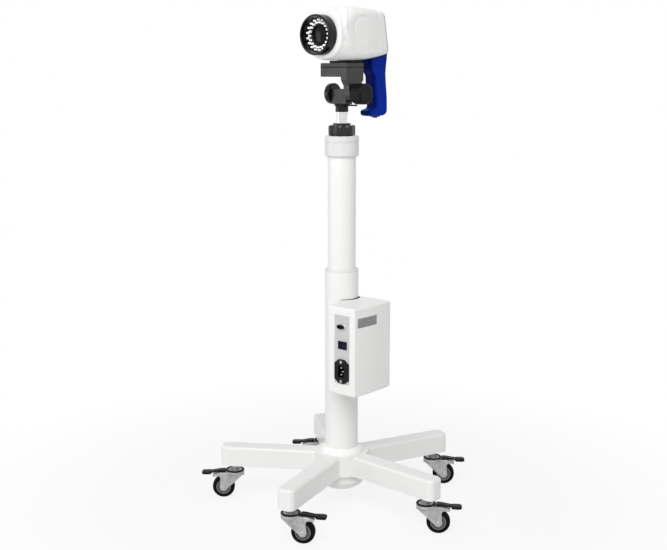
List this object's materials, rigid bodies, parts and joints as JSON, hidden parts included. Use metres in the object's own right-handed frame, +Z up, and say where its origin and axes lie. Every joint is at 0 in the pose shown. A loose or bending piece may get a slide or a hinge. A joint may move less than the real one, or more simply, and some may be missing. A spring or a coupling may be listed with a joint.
{
  "type": "mobile video examination camera",
  "caption": "Hand-held examination video camera with a ring of lamps, clamped on a pan and tilt joint above a telescopic column with a power box and a five-arm castor base",
  "frame": {"origin": "on the column axis at floor level", "axes": "+Z up, the camera looks along -Y, +X to the side with the large tilt knob"},
  "size_m": [0.5534, 0.5265, 1.043],
  "materials": {
    "white_gloss": "smooth white powder coat, low sheen",
    "shell_white": "smooth white moulded plastic",
    "steel": "machined steel",
    "zinc": "bright zinc-plated pressed steel",
    "bush_white": "white acetal bush",
    "dark_metal": "dark grey painted casting",
    "panel_grey": "mid grey painted plate",
    "rubber": "black rubber pad",
    "black_plastic": "black moulded plastic",
    "board_green": "solder-masked circuit board",
    "chrome": "polished chrome plate",
    "black_gloss": "glossy black plastic",
    "lamp": "clear domed lamp",
    "glass": "coated optical glass",
    "grip_blue": "deep blue fine-grained plastic",
    "tyre": "black rubber tread"
  },
  "bodies": {
    "stand": {"base_star": "white_gloss", "foot_collar": "shell_white", "hub_cup": "white_gloss", "foot_bolt": "steel", "castor_stems": "zinc", "outer_tube": "white_gloss", "rim_bush": "bush_white", "gas_cylinder": "dark_metal", "box_shell": "white_gloss", "box_lid": "white_gloss", "box_panel": "panel_grey", "box_screws": "steel", "tube_pads": "rubber", "mains_inlet": "black_plastic", "inlet_pins": "steel", "inlet_screws": "steel", "rocker_frame": "black_plastic", "video_socket": "steel", "power_supply": "board_green"},
    "mast": {"inner_tube": "white_gloss", "top_collar": "shell_white", "collet": "steel", "gas_rod": "steel"},
    "clamp": {"clamp_nut": "black_plastic"},
    "post": {"chrome_post": "chrome", "post_collar": "black_gloss"},
    "pan_arm": {"pan_lever": "black_plastic"},
    "pan_head": {"pan_block": "dark_metal", "tilt_axle": "black_plastic"},
    "tilt_lock": {"tilt_knob": "black_plastic"},
    "tilt_frame": {"bracket": "dark_metal"},
    "camera": {"slide_plate": "dark_metal", "mount_shoe": "black_plastic", "camera_screw": "steel", "head_shell": "shell_white", "rear_cover": "shell_white", "bezel": "black_gloss", "lamp_board": "board_green", "lamps": "lamp", "lens_barrel": "black_plastic", "lens_glass": "glass", "camera_block": "dark_metal", "grip": "grip_blue", "grip_cap": "black_plastic"},
    "switch": {"rocker": "black_gloss"},
    "swivel_a": {"fork_a": "zinc"},
    "roller_a": {"wheel_a": "tyre"},
    "brake_a": {"brake_lever_a": "black_plastic"},
    "swivel_b": {"fork_b": "zinc"},
    "roller_b": {"wheel_b": "tyre"},
    "brake_b": {"brake_lever_b": "black_plastic"},
    "swivel_c": {"fork_c": "zinc"},
    "roller_c": {"wheel_c": "tyre"},
    "brake_c": {"brake_lever_c": "black_plastic"},
    "swivel_d": {"fork_d": "zinc"},
    "roller_d": {"wheel_d": "tyre"},
    "brake_d": {"brake_lever_d": "black_plastic"},
    "swivel_e": {"fork_e": "zinc"},
    "roller_e": {"wheel_e": "tyre"},
    "brake_e": {"brake_lever_e": "black_plastic"}
  },
  "joints": [
    {"name": "column_height", "type": "slide", "parent": "stand", "child": "mast", "axis": [0, 0, 1], "range_m": [-0.18, 0.1]},
    {"name": "clamp_turn", "type": "hinge", "parent": "mast", "child": "clamp", "pos_m": [0, 0, 0.7876], "axis": [0, 0, 1], "range_deg": [0, 120]},
    {"name": "post_height", "type": "slide", "parent": "mast", "child": "post", "axis": [0, 0, 1], "range_m": [-0.01, 0.06]},
    {"name": "pan_lock", "type": "hinge", "parent": "post", "child": "pan_arm", "pos_m": [0, 0, 0.8468], "axis": [0, 0, 1], "range_deg": [-30, 30]},
    {"name": "pan", "type": "hinge", "parent": "post", "child": "pan_head", "pos_m": [0, 0, 0.8468], "axis": [0, 0, 1], "continuous": true},
    {"name": "tilt", "type": "hinge", "parent": "pan_head", "child": "tilt_frame", "pos_m": [0, 0, 0.8715], "axis": [1, 0, 0], "range_deg": [-8, 45]},
    {"name": "tilt_lock_turn", "type": "hinge", "parent": "pan_head", "child": "tilt_lock", "pos_m": [0.034, 0, 0.8715], "axis": [1, 0, 0], "range_deg": [0, 270]},
    {"name": "fore_aft", "type": "slide", "parent": "tilt_frame", "child": "camera", "axis": [0, 1, 0], "range_m": [-0.006, 0.015]},
    {"name": "power_switch", "type": "hinge", "parent": "stand", "child": "switch", "pos_m": [0.0727, -0.0798, 0.3743], "axis": [0, 0, 1], "range_deg": [-7, 7]},
    {"name": "swivel_turn_a", "type": "hinge", "parent": "stand", "child": "swivel_a", "pos_m": [0.23376, -0.01061, 0.057], "axis": [0, 0, 1], "continuous": true},
    {"name": "roll_a", "type": "hinge", "parent": "swivel_a", "child": "roller_a", "pos_m": [0.25424, 0.00372, 0.024], "axis": [-0.5736, 0.8192, 0], "continuous": true},
    {"name": "brake_press_a", "type": "hinge", "parent": "swivel_a", "child": "brake_a", "pos_m": [0.2526, 0.00258, 0.06], "axis": [-0.5736, 0.8192, 0], "range_deg": [0, 6]},
    {"name": "swivel_turn_b", "type": "hinge", "parent": "stand", "child": "swivel_b", "pos_m": [0.08233, 0.21904, 0.057], "axis": [0, 0, 1], "continuous": true},
    {"name": "roll_b", "type": "hinge", "parent": "swivel_b", "child": "roller_b", "pos_m": [0.10176, 0.23477, 0.024], "axis": [-0.6293, 0.7771, 0], "continuous": true},
    {"name": "brake_press_b", "type": "hinge", "parent": "swivel_b", "child": "brake_b", "pos_m": [0.10021, 0.23351, 0.06], "axis": [-0.6293, 0.7771, 0], "range_deg": [0, 6]},
    {"name": "swivel_turn_c", "type": "hinge", "parent": "stand", "child": "swivel_c", "pos_m": [-0.18288, 0.14599, 0.057], "axis": [0, 0, 1], "continuous": true},
    {"name": "roll_c", "type": "hinge", "parent": "swivel_c", "child": "roller_c", "pos_m": [-0.20203, 0.12992, 0.024], "axis": [0.6428, -0.766, 0], "continuous": true},
    {"name": "brake_press_c", "type": "hinge", "parent": "swivel_c", "child": "brake_c", "pos_m": [-0.2005, 0.1312, 0.06], "axis": [0.6428, -0.766, 0], "range_deg": [0, 6]},
    {"name": "swivel_turn_d", "type": "hinge", "parent": "stand", "child": "swivel_d", "pos_m": [-0.19535, -0.12881, 0.057], "axis": [0, 0, 1], "continuous": true},
    {"name": "roll_d", "type": "hinge", "parent": "swivel_d", "child": "roller_d", "pos_m": [-0.21393, -0.14554, 0.024], "axis": [0.6691, -0.7431, 0], "continuous": true},
    {"name": "brake_press_d", "type": "hinge", "parent": "swivel_d", "child": "brake_d", "pos_m": [-0.21245, -0.1442, 0.06], "axis": [0.6691, -0.7431, 0], "range_deg": [0, 6]},
    {"name": "swivel_turn_e", "type": "hinge", "parent": "stand", "child": "swivel_e", "pos_m": [0.06214, -0.2256, 0.057], "axis": [0, 0, 1], "continuous": true},
    {"name": "roll_e", "type": "hinge", "parent": "swivel_e", "child": "roller_e", "pos_m": [0.08311, -0.21198, 0.024], "axis": [-0.5446, 0.8387, 0], "continuous": true},
    {"name": "brake_press_e", "type": "hinge", "parent": "swivel_e", "child": "brake_e", "pos_m": [0.08143, -0.21307, 0.06], "axis": [-0.5446, 0.8387, 0], "range_deg": [0, 6]}
  ]
}
